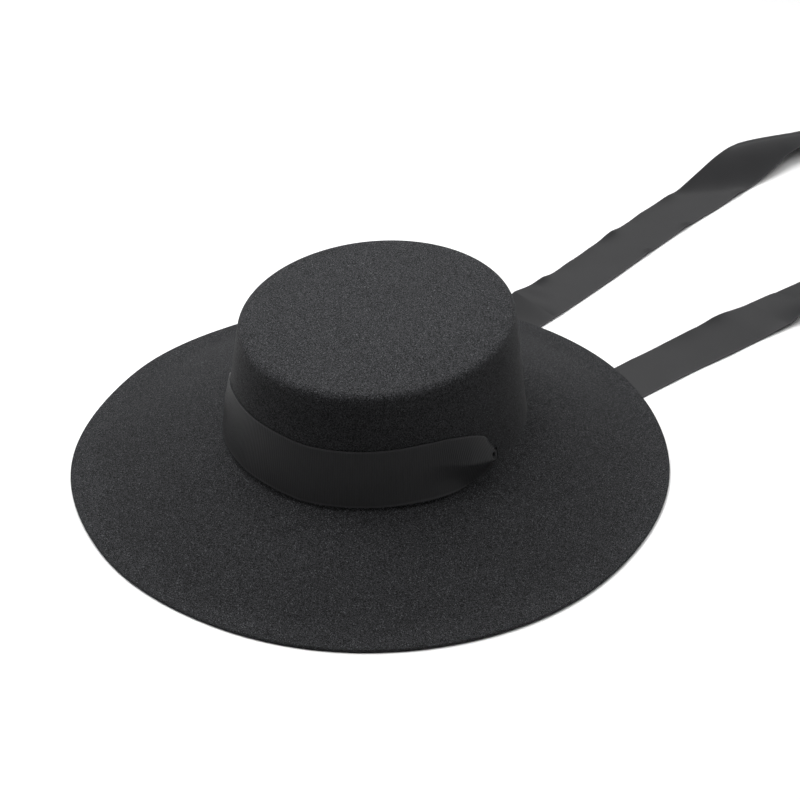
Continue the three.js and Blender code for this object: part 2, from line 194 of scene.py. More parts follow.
# The band's gathers: back is degrees before the slit, low, ridge and high are heights above the lower edge,
# puff is how far the ridge stands out, flare how far the lower edge does, lip how far the upper edge does,
# and rise how much higher the whole band runs
Gather = namedtuple("Gather", "back low ridge high puff flare lip rise", defaults=(0, 0, 0))
GATHERS = (
    Gather(0, 0.0025, 0.006, 0.0095, 0.0),
    Gather(1.5, 0.0024, 0.007, 0.0108, 0.0001, 0.0, 0.0003),
    Gather(1.9, 0.0023, 0.0074, 0.0122, 0.0002, 0.0, 0.0022),
    Gather(2.2, 0.0023, 0.0078, 0.0131, 0.0006, 0.0, 0.0024),
    Gather(2.6, 0.0022, 0.0084, 0.0149, 0.0042, 0.0, 0.0021),
    Gather(3.0, 0.0021, 0.0086, 0.0164, 0.0046, 0.0, 0.0019),
    Gather(4.0, 0.0017, 0.0088, 0.0197, 0.0046, 0.0, 0.001),
    Gather(5.25, 0.0011, 0.009, 0.0238, 0.0046, 0.0, 0.0001),
    Gather(8, 0.0002, 0.0105, 0.0267, 0.0046),
    Gather(13.5, -0.0004, 0.0136, 0.03045, 0.0045),
    Gather(18, -0.0005, 0.016, 0.0325, 0.0037, 0.001),
    Gather(23, -0.0004, 0.019, 0.0346, 0.0024, 0.0016, 0.0, 0.0004),
    Gather(28, -0.0002, 0.0205, 0.0353, 0.0013, 0.0016, 0.0, 0.0008),
    Gather(34, 0.0, 0.02, 0.036, 0.0004, 0.0011, 0.0, 0.0012),
    Gather(44, 0.0, 0.018, 0.036, 0.0, 0.0005, 0.0, 0.0015),
    Gather(60, 0.0, 0.018, 0.036, 0.0, 0.0, 0.0, 0.0016),
    Gather(78, 0.0, 0.018, 0.036, 0.0),
)
# The same across the ribbon, from its lower edge at share 0 to its upper edge at share 1
Across = namedtuple("Across", "share puff flare lip", defaults=(0, 0))
RIDGE_SHARE = 0.42
ACROSS = (
    Across(0.00, 0.00, 1.00),
    Across(0.06, 0.1, 0.66),
    Across(0.14, 0.27, 0.25),
    Across(0.22, 0.46, 0.04),
    Across(0.3, 0.66),
    Across(0.36, 0.82),
    Across(0.4, 0.94),
    Across(0.44, 1.00),
    Across(0.5, 0.97),
    Across(0.56, 0.88, 0.0, 0.05),
    Across(0.68, 0.64, 0.0, 0.3),
    Across(0.8, 0.36, 0.0, 0.58),
    Across(0.91, 0.14, 0.0, 0.82),
    Across(1.00, 0.00, 0.0, 1.00),
)
# The small open fold at the band's right tip: degrees before the slit, height above the lower edge, half
# sizes and depth
FoldHole = namedtuple("FoldHole", "back height half_back half_height depth")
FOLD_HOLE = FoldHole(3.75, 0.0113, 1.0, 0.0016, 0.0060)
LEAST_STAND_OFF = 0.0004
BAND_COLUMNS = 37
BAND_STEP = 0.125
TURN_STEPS = 9

# Ties: the ribbon's middle line, its lean (degrees, plus lifts the right edge) and its width at each row
TieRow = namedtuple("TieRow", "x y z lean wide", defaults=(0, 0.036))
RIGHT_TIE_ROWS = (
    TieRow(0.08425, -0.00815, 0.0427, 90, 0.008),
    TieRow(0.0802, -0.0078, 0.0422, 90, 0.009),
    TieRow(0.075, -0.0045, 0.0395, 88, 0.015),
    TieRow(0.071, 0.004, 0.034, 80, 0.024),
    TieRow(0.068, 0.016, 0.027, 66, 0.032),
    TieRow(0.0665, 0.03, 0.0185, 46),
    TieRow(0.0665, 0.045, 0.011, 27),
    TieRow(0.068, 0.06, 0.0055, 12),
    TieRow(0.0705, 0.076, 0.0022, 4),
    TieRow(0.074, 0.093, 0.0007),
    TieRow(0.0795, 0.112, 0.0006),
    TieRow(0.0865, 0.132, 0.0006),
    TieRow(0.094, 0.152, 0.0006),
    TieRow(0.102, 0.175, 0.0006),
    TieRow(0.1115, 0.202, 0.0006),
    TieRow(0.1225, 0.23, 0.0013, -2),
    TieRow(0.1325, 0.2575, 0.0019, -4),
    TieRow(0.1425, 0.2825, 0.002, 1),
    TieRow(0.151, 0.3045, 0.006, 16),
    TieRow(0.1595, 0.3265, 0.0062, 17),
    TieRow(0.167, 0.348, 0.004, 10),
)
LEFT_TIE_ROWS = (
    TieRow(-0.08094, -0.02806, 0.0427, -90, 0.008),
    TieRow(-0.07703, -0.02694, 0.0422, -90, 0.009),
    TieRow(-0.0722, -0.0225, 0.0395, -88, 0.015),
    TieRow(-0.069, -0.012, 0.035, -80, 0.024),
    TieRow(-0.0665, 0.002, 0.03, -70, 0.03),
    TieRow(-0.0645, 0.017, 0.024, -58, 0.034),
    TieRow(-0.0625, 0.032, 0.018, -46),
    TieRow(-0.0575, 0.048, 0.011, -27),
    TieRow(-0.052, 0.065, 0.0055, -12),
    TieRow(-0.046, 0.083, 0.0022, -4),
    TieRow(-0.039, 0.102, 0.0007),
    TieRow(-0.031, 0.122, 0.0006),
    TieRow(-0.022, 0.142, 0.0006),
    TieRow(-0.0125, 0.162, 0.0009),
    TieRow(-0.0025, 0.187, 0.0007),
    TieRow(0.0025, 0.208, 0.0036, -9),
    TieRow(0.0065, 0.231, 0.0012, -1),
    TieRow(0.0135, 0.274, 0.0006),
    TieRow(0.0205, 0.322, 0.0006),
    TieRow(0.0285, 0.37, 0.0008),
    TieRow(0.0351, 0.401, 0.0008),
    TieRow(0.0393, 0.4233, 0.0008),
    TieRow(0.0438, 0.4453, 0.0008),
    TieRow(0.049, 0.4667, 0.0008),
    TieRow(0.053, 0.4874, 0.0008),
    TieRow(0.06, 0.5055, 0.0008),
    TieRow(0.069, 0.5225, 0.0008),
    TieRow(0.0815, 0.535, 0.0008),
    TieRow(0.0985, 0.542, 0.0008),
)
TIE_COLUMNS = 13
TIE_STEPS_PER_ROW = 24

# The left tie's far end rises over a slanted crease: past is the distance from the crease's line on the
# floor, beside the distance along that line, and growth how much wider and higher the rise is there
ArchRow = namedtuple("ArchRow", "past height")
ArchGrowth = namedtuple("ArchGrowth", "beside growth")
CREASE_PLACE = (0.0175, 0.3985)
CREASE_WAY = (-0.635, 0.772)
ARCH_FADE = 0.038
ARCH_ROWS = (
    ArchRow(0.0, 0.0),
    ArchRow(0.003, 0.0004),
    ArchRow(0.036, 0.0104),
    ArchRow(0.04, 0.011),
    ArchRow(0.044, 0.01),
    ArchRow(0.054, 0.0028),
    ArchRow(0.06, 0.0003),
    ArchRow(0.066, 0.0),
)
ARCH_GROWTHS = (
    ArchGrowth(0.04, 1.0),
    ArchGrowth(0.057, 1.1),
    ArchGrowth(0.068, 1.17),
    ArchGrowth(0.085, 1.24),
    ArchGrowth(0.11, 1.31),
    ArchGrowth(0.13, 1.34),
)

# Ruffles of a tie's edges: at is the distance from the slit, side the edge (minus the left one), and before
# and after are how far the ruffle reaches along the tie
Ruffle = namedtuple("Ruffle", "at side height before after")
LEFT_RUFFLES = (
    Ruffle(0.293, -1, 0.0019, 0.013, 0.008),
    Ruffle(0.322, -1, 0.0005, 0.008, 0.008),
    Ruffle(0.334, 1, 0.0008, 0.01, 0.009),
    Ruffle(0.35, -1, 0.0006, 0.009, 0.008),
    Ruffle(0.371, 1, 0.0015, 0.009, 0.006),
    Ruffle(0.376, -1, 0.0019, 0.014, 0.008),
    Ruffle(0.412, -1, 0.0006, 0.009, 0.008),
    Ruffle(0.419, 1, 0.0015, 0.01, 0.006),
    Ruffle(0.445, -1, 0.0016, 0.013, 0.008),
    Ruffle(0.485, 1, 0.0012, 0.01, 0.006),
)
RIGHT_RUFFLES = (
    Ruffle(0.262, -1, 0.0006, 0.009, 0.009),
    Ruffle(0.285, -1, 0.0008, 0.01, 0.009),
    Ruffle(0.316, 1, 0.0007, 0.009, 0.009),
)
# A slow wave along both edges, its shift from edge to edge, and how fast edge lifts fade across the ribbon
EDGE_WAVE_LENGTH = 0.044
EDGE_WAVE_LIFT = 0.0004
EDGE_WAVE_SHIFT = 2.1
EDGE_FADE = 4
RIM_CLEARANCE = 0.010

# Rows of the ribbon's mesh to each cross rib
RIB_STEPS = 4

# The felt's slow waves, the rounding of its cut edge, and the angles up to which the pieces are smooth
TOP_SLACK = 0.5
WAVE_SPAN = 0.06
CUT_EDGE_RADIUS = 0.0009
CUT_EDGE_SEGMENTS = 3
CUT_EDGE_ANGLE = 60
FELT_SMOOTH = 50
RIBBON_SMOOTH = 60

# Vertices nearer than this are the same one
SAME_PLACE = 1e-6


# Selecting and finishing

def deselect_all():
    if bpy.context.object and bpy.context.object.mode != "OBJECT":
        bpy.ops.object.mode_set(mode="OBJECT")
    bpy.ops.object.select_all(action="DESELECT")


def pick(piece):
    """Make one piece the only selected and active object."""
    deselect_all()
    piece.select_set(True)
    bpy.context.view_layer.objects.active = piece


def apply_modifier(piece, kind, **settings):
    """Add a modifier to a piece with its settings, and apply it."""
    pick(piece)
    bpy.ops.object.modifier_add(type=kind)
    modifier = piece.modifiers[-1]
    for setting, value in settings.items():
        setattr(modifier, setting, value)
    bpy.ops.object.modifier_apply(modifier=modifier.name)


def select_vertices(piece, wanted):
    """Select in edit mode the vertices whose place passes a test."""
    bpy.ops.mesh.select_mode(type="VERT")
    bpy.ops.mesh.select_all(action="DESELECT")
    mesh = bmesh.from_edit_mesh(piece.data)
    for vertex in mesh.verts:
        vertex.select_set(bool(wanted(vertex.co)))
    mesh.select_flush(True)
    bmesh.update_edit_mesh(piece.data)


def finish_piece(piece, node, material, smooth_angle):
    """Smooth a piece, give it its material, and let it stand for its node."""
    pick(piece)
    bpy.ops.object.shade_smooth_by_angle(angle=math.radians(smooth_angle))
    piece.data.materials.clear()
    piece.data.materials.append(material)
    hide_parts(node)
    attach(piece, "root")
    deselect_all()


# Shapes of the felt

SectionPoint = namedtuple("SectionPoint", "out height")


def section_arc(centre, radius, from_angle, to_angle, steps):
    """An arc of the section; a negative radius makes a hollow corner."""
    angles = np.linspace(from_angle, to_angle, steps + 1)
    return [
        SectionPoint(centre.out + radius * math.cos(angle), centre.height + radius * math.sin(angle))
        for angle in angles
    ]


def felt_section(felt):
    """The felt's outer line from the crown top's rounded edge down the wall and out along the brim."""
    upward = math.pi / 2
    crown_height = felt.height - felt.joint_height
    brim_width = felt.brim_half_width - felt.joint_half_width
    wall_normal = math.atan2(felt.crown_lean, crown_height)
    rim_top = felt.thickness * math.cos(math.atan2(felt.joint_height, brim_width))
    brim_normal = upward - math.atan2(felt.joint_height - rim_top, brim_width)

    edge_reach = felt.edge_radius * math.tan((upward - wall_normal) / 2)
    edge_centre = SectionPoint(-felt.crown_lean - edge_reach, felt.height - felt.edge_radius)
    edge = section_arc(edge_centre, felt.edge_radius, upward, wall_normal, EDGE_STEPS)

    middle = (wall_normal + brim_normal) / 2
    reach = felt.joint_radius / math.cos((brim_normal - wall_normal) / 2)
    joint_centre = SectionPoint(reach * math.cos(middle), felt.joint_height + reach * math.sin(middle))
    joint = section_arc(joint_centre, -felt.joint_radius, wall_normal, brim_normal, JOINT_STEPS)

    wall = []
    for step in range(1, WALL_STEPS):
        share = step / WALL_STEPS
        out = edge[-1].out + share * (joint[0].out - edge[-1].out)
        height = edge[-1].height + share * (joint[0].height - edge[-1].height)
        wall.append(SectionPoint(out, height))
    brim = []
    for share, sag in zip(BRIM_SHARES, smooth_column(BRIM_ROWS, "share", "sag", BRIM_SHARES)):
        slope = felt.joint_height + share * (rim_top - felt.joint_height)
        brim.append(SectionPoint(share * brim_width, slope - sag))
    return edge + wall + joint + brim


def felt_oval(felt, out):
    """Half width and half length of the felt at a distance outside the joint."""
    brim_width = felt.brim_half_width - felt.joint_half_width
    lengthwise = (felt.brim_half_length - felt.joint_half_length) / brim_width
    stretch = lengthwise if out > 0 else 1
    return felt.joint_half_width + out, felt.joint_half_length + out * stretch


def felt_rings(felt):
    """Half width, half length and height of each ring, from the crown's middle out to the rim."""
    section = felt_section(felt)
    top_width, top_length = felt_oval(felt, section[0].out)
    rings = []
    for share in TOP_SHARES:
        rings.append((share * top_width, share * top_length, felt.height + felt.dome * (1 - share ** 2)))
    for point in section:
        rings.append((*felt_oval(felt, point.out), point.height))
    return rings


def draw_felt(felt):
    """Draw the felt's outer face out of one circle, ring by ring, and close its middle."""
    deselect_all()
    rings = felt_rings(felt)
    bpy.ops.mesh.primitive_circle_add(vertices=FELT_FACETS, radius=1, fill_type="NOTHING")
    piece = bpy.context.object
    piece.name = "felt_hat"
    piece.data.name = "felt_hat"
    bpy.ops.object.mode_set(mode="EDIT")
    bpy.ops.mesh.select_all(action="SELECT")
    wide, long, high = rings[0]
    bpy.ops.transform.resize(value=(wide, long, 1))
    bpy.ops.transform.translate(value=(0, 0, high))
    bpy.ops.mesh.edge_face_add()
    bpy.ops.mesh.poke()
    inner = 0.5 * rings[0][0]
    select_vertices(piece, lambda place: place.xy.length > inner)
    bpy.ops.mesh.select_mode(type="EDGE")
    bpy.ops.mesh.region_to_loop()
    for before, after in zip(rings, rings[1:]):
        bpy.ops.mesh.extrude_edges_move()
        bpy.ops.transform.resize(value=(after[0] / before[0], after[1] / before[1], 1))
        bpy.ops.transform.translate(value=(0, 0, after[2] - before[2]))
    return piece


def pull(piece, place, shift, reach):
    """Move the vertex nearest to a place, and its neighbours within reach by a smooth share."""
    mesh = bmesh.from_edit_mesh(piece.data)
    nearest = min(mesh.verts, key=lambda vertex: (vertex.co - place).length)
    chosen = nearest.co.copy()
    select_vertices(piece, lambda co: (co - chosen).length < SAME_PLACE)
    bpy.ops.transform.translate(value=shift, use_proportional_edit=True, proportional_edit_falloff="SMOOTH",
                                proportional_size=reach)


def outward_at(turn):
    """The level way out at a turn, in degrees from +X."""
    angle = math.radians(turn)
    return Vector((math.cos(angle), math.sin(angle), 0))


def pull_rim(piece, felt):
    """Pull the brim's edge in, out and up where the real brim isn't a level oval."""
    for row in RIM_PULLS:
        outward = outward_at(row.turn)
        place = Vector((felt.brim_half_width * outward.x, felt.brim_half_length * outward.y, felt.thickness))
        pull(piece, place, row.out * outward + Vector((0, 0, row.lift)), RIM_PULL_REACH)


def wear_edge(piece, felt):
    """Push the crown's edge in and down where the real one has worn rounder."""
    for row in EDGE_PUSHES:
        place = Vector(wall_place(felt, row.turn, felt.height, -felt.edge_radius / 4))
        shift = -row.inward * outward_at(row.turn) - Vector((0, 0, row.down))
        pull(piece, place, shift, EDGE_PUSH_REACH)


def slack_felt(piece, felt):
    """Weigh each vertex by how freely the felt waves there, and move it by a slow noise."""
    group = piece.vertex_groups.new(name="slack")
    top_width, top_length = felt_oval(felt, felt_section(felt)[0].out)
    for vertex in piece.data.vertices:
        x, y, z = vertex.co
        top_share = math.hypot(x / top_width, y / top_length)
        rim_share = math.hypot(x / felt.brim_half_width, y / felt.brim_half_length)
        if top_share < 1:
            slack = TOP_SLACK * (1 - top_share ** 2)
        elif z < felt.joint_height:
            slack = math.sin(math.pi * min(max(rim_share * 2 - 1, 0), 1))
        else:
            slack = 0
        group.add([vertex.index], slack, "REPLACE")
    noise = bpy.data.textures.new("slow_waves", "CLOUDS")
    noise.noise_scale = WAVE_SPAN
    noise.noise_depth = 1
    apply_modifier(piece, "DISPLACE", texture=noise, texture_coords="LOCAL", vertex_group=group.name,
                   strength=felt.waves, mid_level=0.5)
    piece.vertex_groups.clear()


def slit_frame(felt, slit):
    """A slit's place on the wall, the way out of the wall and the way the ribbon runs into it."""
    place = np.array(wall_place(felt, slit.turn, SLIT_MIDDLE, 0.0))
    inset = felt.crown_lean * (SLIT_MIDDLE - felt.joint_height) / (felt.height - felt.joint_height)
    wide = felt.joint_half_width - inset
    long = felt.joint_half_length - inset
    angle = math.radians(slit.turn)
    outward = np.array((math.cos(angle) / wide, math.sin(angle) / long, 0))
    outward = outward / np.linalg.norm(outward)
    along = slit.heading * np.array((-outward[1], outward[0], 0))
    return place, outward, along


def cut_slit(piece, felt, slit):
    """Cut a slit through the crown wall with a block, which is then thrown away."""
    place, outward, along = slit_frame(felt, slit)
    middle = place + along * SLIT_SIZE[1] / 2
    deselect_all()
    bpy.ops.mesh.primitive_cube_add(size=1, location=middle, scale=SLIT_SIZE,
                                    rotation=(0, 0, math.atan2(outward[1], outward[0])))
    cutter = bpy.context.object
    apply_modifier(piece, "BOOLEAN", operation="DIFFERENCE", solver="EXACT", object=cutter)
    bpy.data.objects.remove(cutter)


# Shapes of the ribbon

def wall_place(felt, turn, height, offset):
    """A place on the crown wall, or offset from it, at a turn and a height; arrays give arrays."""
    inset = felt.crown_lean * (height - felt.joint_height) / (felt.height - felt.joint_height)
    angle = np.radians(turn)
    wide = felt.joint_half_width - inset + offset
    long = felt.joint_half_length - inset + offset
    return wide * np.cos(angle), long * np.sin(angle), height


def smooth_column(rows, key, column, places):
    """A table's column at any places along its key, on a smooth curve that never leaves the rows' range."""
    keys = np.array([getattr(row, key) for row in rows], dtype=float)
    values = np.array([getattr(row, column) for row in rows], dtype=float)
    steps = np.diff(values) / np.diff(keys)
    before, after = steps[:-1], steps[1:]
    turning = before * after <= 0
    shared = 2 * before * after / np.where(turning, 1, before + after)
    slopes = np.concatenate([steps[:1], np.where(turning, 0, shared), steps[-1:]])
    places = np.clip(places, keys[0], keys[-1])
    index = np.clip(np.searchsorted(keys, places, side="right") - 1, 0, len(keys) - 2)
    span = keys[index + 1] - keys[index]
    share = (places - keys[index]) / span
    start = (1 + 2 * share) * (1 - share) ** 2 * values[index]
    start += share * (1 - share) ** 2 * span * slopes[index]
    end = share ** 2 * (3 - 2 * share) * values[index + 1]
    end += share ** 2 * (share - 1) * span * slopes[index + 1]
    return start + end


def band_half(felt, ribbon, slit):
    """Stations of the band's middle surface from the front to a slit, round its turn and in."""
    backs = np.arange(abs(slit.turn - FRONT_TURN), -BAND_STEP / 2, -BAND_STEP)
    gather = {column: smooth_column(GATHERS, "back", column, backs)[:, None] for column in Gather._fields[1:]}
    shares = np.linspace(0, 1, BAND_COLUMNS)
    across = {column: smooth_column(ACROSS, "share", column, shares)[None] for column in Across._fields[1:]}
    below = np.minimum(shares / RIDGE_SHARE, 1)[None]
    above = np.maximum((shares - RIDGE_SHARE) / (1 - RIDGE_SHARE), 0)[None]
    rise = gather["low"] + below * (gather["ridge"] - gather["low"])
    rise = rise + above * (gather["high"] - gather["ridge"])
    hole = ((backs[:, None] - FOLD_HOLE.back) / FOLD_HOLE.half_back) ** 2
    hole = hole + ((rise - FOLD_HOLE.height) / FOLD_HOLE.half_height) ** 2
    raised = sum(gather[column] * across[column] for column in Across._fields[1:])
    raised = raised - slit.hole * FOLD_HOLE.depth * np.exp(-hole ** 4)
    offset = np.maximum(ribbon.stand_off + slit.puff * raised, LEAST_STAND_OFF)
    rise = rise + slit.rise * gather["rise"]
    turns = (slit.turn - slit.heading * backs)[:, None] + 0 * shares[None]
    rows = np.stack(wall_place(felt, turns, ribbon.lower_edge + rise, offset), axis=-1)

    place, outward, along = slit_frame(felt, slit)
    angles = np.radians(np.linspace(0, 90, TURN_STEPS + 1)[1:])
    rounds = [along * TURN_RADIUS * math.sin(angle) - outward * TURN_RADIUS * (1 - math.cos(angle))
              for angle in angles]
    rounds.append(rounds[-1] - outward * INWARD_RUN)
    turned = np.stack([rows[-1] + shift for shift in rounds])
    return np.concatenate([rows, turned])


def run_along(places):
    """How far along a line each of its places is."""
    return np.concatenate([[0], np.cumsum(np.linalg.norm(np.diff(places, axis=0), axis=1))])


def middle_line(stations):
    """The places along the ribbon's middle."""
    return stations[:, stations.shape[1] // 2]


def smooth_line(places):
    """Points on a smooth curve through places, evenly many between each two (centripetal)."""
    places = np.array(places)
    padded = np.concatenate([[2 * places[0] - places[1]], places, [2 * places[-1] - places[-2]]])
    shares = np.arange(TIE_STEPS_PER_ROW) / TIE_STEPS_PER_ROW
    points = []
    for index in range(len(places) - 1):
        four = padded[index:index + 4]
        knots = np.concatenate([[0], np.cumsum(np.sqrt(np.linalg.norm(np.diff(four, axis=0), axis=1)))])
        for share in shares:
            points.append(curve_point(four, knots, knots[1] + share * (knots[2] - knots[1])))
    points.append(places[-1])
    return np.array(points)


def curve_point(four, knots, at):
    """A point between the middle two of four places, by repeated blending."""
    def blend(first, second, start, end):
        return ((end - at) * first + (at - start) * second) / (end - start)
    a = [blend(four[i], four[i + 1], knots[i], knots[i + 1]) for i in range(3)]
    b = [blend(a[i], a[i + 1], knots[i], knots[i + 2]) for i in range(2)]
    return blend(b[0], b[1], knots[1], knots[2])


def arch_rise(places, left):
    """How far the left tie rises over its crease at places, less where little of the tie is left."""
    from_crease = places[..., :2] - CREASE_PLACE
    past = from_crease @ np.array(CREASE_WAY)
    beside = from_crease @ np.array((CREASE_WAY[1], -CREASE_WAY[0]))
    growth = smooth_column(ARCH_GROWTHS, "beside", "growth", beside)
    share = np.clip(left / ARCH_FADE, 0, 1)
    rise = growth * smooth_column(ARCH_ROWS, "past", "height", past / growth)
    return rise * share ** 2 * (3 - 2 * share)


def edge_lift(run, side, ruffles):
    """How far a tie's edges lift, by single ruffles and a slow wave."""
    lift = np.zeros_like(run * side)
    for ruffle in ruffles:
        distance = run - ruffle.at
        reached = distance / np.where(distance < 0, ruffle.before, ruffle.after)
        fade = np.maximum(ruffle.side * side, 0) ** EDGE_FADE
        lift = lift + ruffle.height * fade * np.exp(-reached ** 2)
    phase = 2 * math.pi * run / EDGE_WAVE_LENGTH + EDGE_WAVE_SHIFT * np.sign(side)
    return lift + EDGE_WAVE_LIFT * side ** EDGE_FADE * (0.5 + 0.5 * np.sin(phase))


def tie_stations(tie_rows, ruffles, arched, felt):
    """Stations of a tie's middle surface: leaning and widening as its rows say, ruffled outside the brim."""
    middle = smooth_line([(row.x, row.y, row.z) for row in tie_rows])
    keys = np.arange(len(tie_rows)) * TIE_STEPS_PER_ROW
    steps = np.arange(len(middle))
    lean = np.radians(np.interp(steps, keys, [row.lean for row in tie_rows]))[:, None]
    half = np.interp(steps, keys, [row.wide for row in tie_rows])[:, None, None] / 2
    along = np.gradient(middle, axis=0)
    along /= np.linalg.norm(along, axis=1)[:, None]
    right = np.cross(along, (0, 0, 1))
    right /= np.linalg.norm(right, axis=1)[:, None]
    above = np.cross(right, along)
    across = right * np.cos(lean) + above * np.sin(lean)
    normal = np.cross(across, along)
    reach = np.linspace(-1, 1, TIE_COLUMNS)[None, :, None]
    stations = middle[:, None] + across[:, None] * half * reach

    run = run_along(middle)[:, None]
    rim_share = np.hypot(middle[:, 0] / felt.brim_half_width, middle[:, 1] / felt.brim_half_length)
    outside = np.clip((rim_share - 1) * felt.brim_half_length / RIM_CLEARANCE - 1, 0, 1)[:, None]
    if arched:
        stations[..., 2] += arch_rise(stations, run[-1] - run)
    lift = edge_lift(run, reach[..., 0], ruffles) * outside
    return stations + normal[:, None] * lift[..., None]


def resample(stations, step):
    """The stations again, at even steps along the ribbon's middle, and how far along each one is."""
    run = run_along(middle_line(stations))
    along = np.linspace(0, run[-1], int(run[-1] / step) + 1)
    flat = stations.reshape(len(run), -1)
    even = np.stack([np.interp(along, run, column) for column in flat.T], axis=1)
    return even.reshape(len(along), -1, 3), along


def weave_ribbon(name, stations, ribbon):
    """A ribbon through stations, with raised cross ribs, its length and width as UV in metres."""
    places, along = resample(stations, ribbon.rib_pitch / RIB_STEPS)
    tangent = np.gradient(places, axis=0)
    crosswise = np.gradient(places, axis=1)
    normal = np.cross(tangent, crosswise)
    normal /= np.linalg.norm(normal, axis=2)[..., None]
    ribs = ribbon.rib_height * np.cos(2 * math.pi * along / ribbon.rib_pitch)
    places = places + normal * ribs[:, None, None]

    rows, columns = places.shape[:2]
    corner = np.arange(rows * columns).reshape(rows, columns)
    faces = np.stack([corner[:-1, :-1], corner[1:, :-1], corner[1:, 1:], corner[:-1, 1:]], axis=-1)
    mesh = bpy.data.meshes.new(name)
    mesh.from_pydata(places.reshape(-1, 3), [], faces.reshape(-1, 4).tolist())
    layer = mesh.uv_layers.new(name="weave")
    wide = np.linspace(0, ribbon.width, columns)
    uv = np.stack(np.broadcast_arrays(along[:, None], wide[None]), axis=-1).reshape(-1, 2)
    vertex = np.zeros(len(mesh.loops), dtype=np.int32)
    mesh.loops.foreach_get("vertex_index", vertex)
    layer.data.foreach_set("uv", uv[vertex].astype(np.float32).ravel())
    piece = bpy.data.objects.new(name, mesh)
    bpy.context.collection.objects.link(piece)
    apply_modifier(piece, "SOLIDIFY", thickness=ribbon.thickness, offset=0, use_even_offset=False)
    return piece


# Finishes: fibres and dye, painted light where the felt's top and rim are paler, painted shade where its wall
# shows fewer flecks, and the ribbon's weave with a painted highlight on its edges

FIBRE_NOISE = {"Detail": 3, "Roughness": 0.55, "Distortion": 0.8}
DYE_NOISE = {"Detail": 2}
DYE_SPREAD = {"From Min": 0.3, "From Max": 0.7}
NAP = {"Fibres per metre": 1500, "Least": 0.42, "Most": 0.58}
CLUMPS = {"Fibres per metre": 300, "Least": 0.36, "Most": 0.64}
PALE_FIBRES = {"Fibres per metre": 1900, "Least": 0.57, "Most": 0.67}
THREADS = {"Fibres per metre": 1500, "Least": 0.42, "Most": 0.72}
FELT_DYE = {"Patches per metre": 22, "Low": 0.95, "High": 1.05}
RIBBON_DYE = {"Patches per metre": 30, "Low": 0.94, "High": 1.06}

NAP_SHARE = 0.9
CLUMP_SHARE = 0.1
# Painted light: the rim and the crown top are made paler, as the light falls on them most
RIM_PAINTED_LIGHT = 0.15
RIM_LIGHT_FADE = (0.88, 0.98)
TOP_PAINTED_LIGHT = 0.24
TOP_LIGHT_FADE = 0.014
# Painted shade: fewer pale flecks show on the mid wall, which the lights hardly reach
SHADED_WALL_FLECKS = 0.45
WALL_FADE = 0.008
FELT_RELIEF = {"Strength": 0.25, "Distance": 0.0006}
FELT_SURFACE = {"Roughness": 0.95, "Specular IOR Level": 0.15, "Sheen Weight": 0.04, "Sheen Roughness": 0.4}

RIB_SHADE = 0.14
# Painted highlight: both edges of the ribbon are made paler, as where light catches its selvage
HIGHLIGHT_EDGE_INSETS = (0.0014, 0.0006)
PAINTED_EDGE_HIGHLIGHT = 0.5
RIBBON_ROUGHNESS = 0.38
THREAD_ROUGHNESS = 0.06
THREAD_RELIEF = 0.3
RIBBON_RELIEF = {"Strength": 0.35, "Distance": 0.00012}
RIBBON_SURFACE = {"Specular IOR Level": 0.10}
FLOOR_SURFACE = {"Roughness": 1, "Specular IOR Level": 0}

# Places of the colour sockets on a Mix node
MIX_INPUTS = (6, 7)
MIX_OUTPUT = 2


def new_material(name):
    material = bpy.data.materials.new(name)
    material.use_nodes = True
    return material, material.node_tree, material.node_tree.nodes["Principled BSDF"]


def add_node(tree, kind, label, **settings):
    node = tree.nodes.new(kind)
    node.label = label
    for setting, value in settings.items():
        setattr(node, setting, value)
    return node


def feed(tree, socket, value):
    """Link an output to a socket, or set the socket to a plain value."""
    if isinstance(value, bpy.types.NodeSocket):
        tree.links.new(value, socket)
    else:
        socket.default_value = value


def feed_all(tree, node, values):
    """Feed a node's inputs by their names."""
    for name, value in values.items():
        feed(tree, node.inputs[name], value)


def math_node(tree, operation, label, *values):
    """A Math node on one to three outputs or numbers; returns its output."""
    node = add_node(tree, "ShaderNodeMath", label, operation=operation)
    for socket, value in zip(node.inputs, values):
        feed(tree, socket, value)
    return node.outputs[0]


def smooth_ramp(tree, label, value, ends, results):
    """A value that goes smoothly from one result to the other between two ends."""
    ramp = add_node(tree, "ShaderNodeMapRange", label, interpolation_type="SMOOTHSTEP")
    feed_all(tree, ramp, {"Value": value, "From Min": ends[0], "From Max": ends[1]})
    feed_all(tree, ramp, {"To Min": results[0], "To Max": results[1]})
    return ramp.outputs["Result"]


def mix_colours(tree, label, share, first, second):
    """Mix two colours, outputs or plain, by a share; returns the mixed colour."""
    node = add_node(tree, "ShaderNodeMix", label, data_type="RGBA")
    feed(tree, node.inputs["Factor"], share)
    for index, value in zip(MIX_INPUTS, (first, second)):
        feed(tree, node.inputs[index], value)
    return node.outputs[MIX_OUTPUT]


def scale_colour(tree, label, plain, tone):
    """A colour made lighter or darker by a tone."""
    node = add_node(tree, "ShaderNodeVectorMath", label, operation="SCALE")
    feed(tree, node.inputs[0], plain)
    feed(tree, node.inputs["Scale"], tone)
    return node.outputs["Vector"]


def split_place(tree, place):
    """The X, Y and Z of a place."""
    parts = add_node(tree, "ShaderNodeSeparateXYZ", "Parts of the place")
    tree.links.new(place, parts.inputs["Vector"])
    return parts.outputs


def add_relief(tree, shader, label, height, values):
    """Let a height stand out of the surface."""
    bump = add_node(tree, "ShaderNodeBump", label)
    feed_all(tree, bump, {"Height": height, **values})
    tree.links.new(bump.outputs["Normal"], shader.inputs["Normal"])


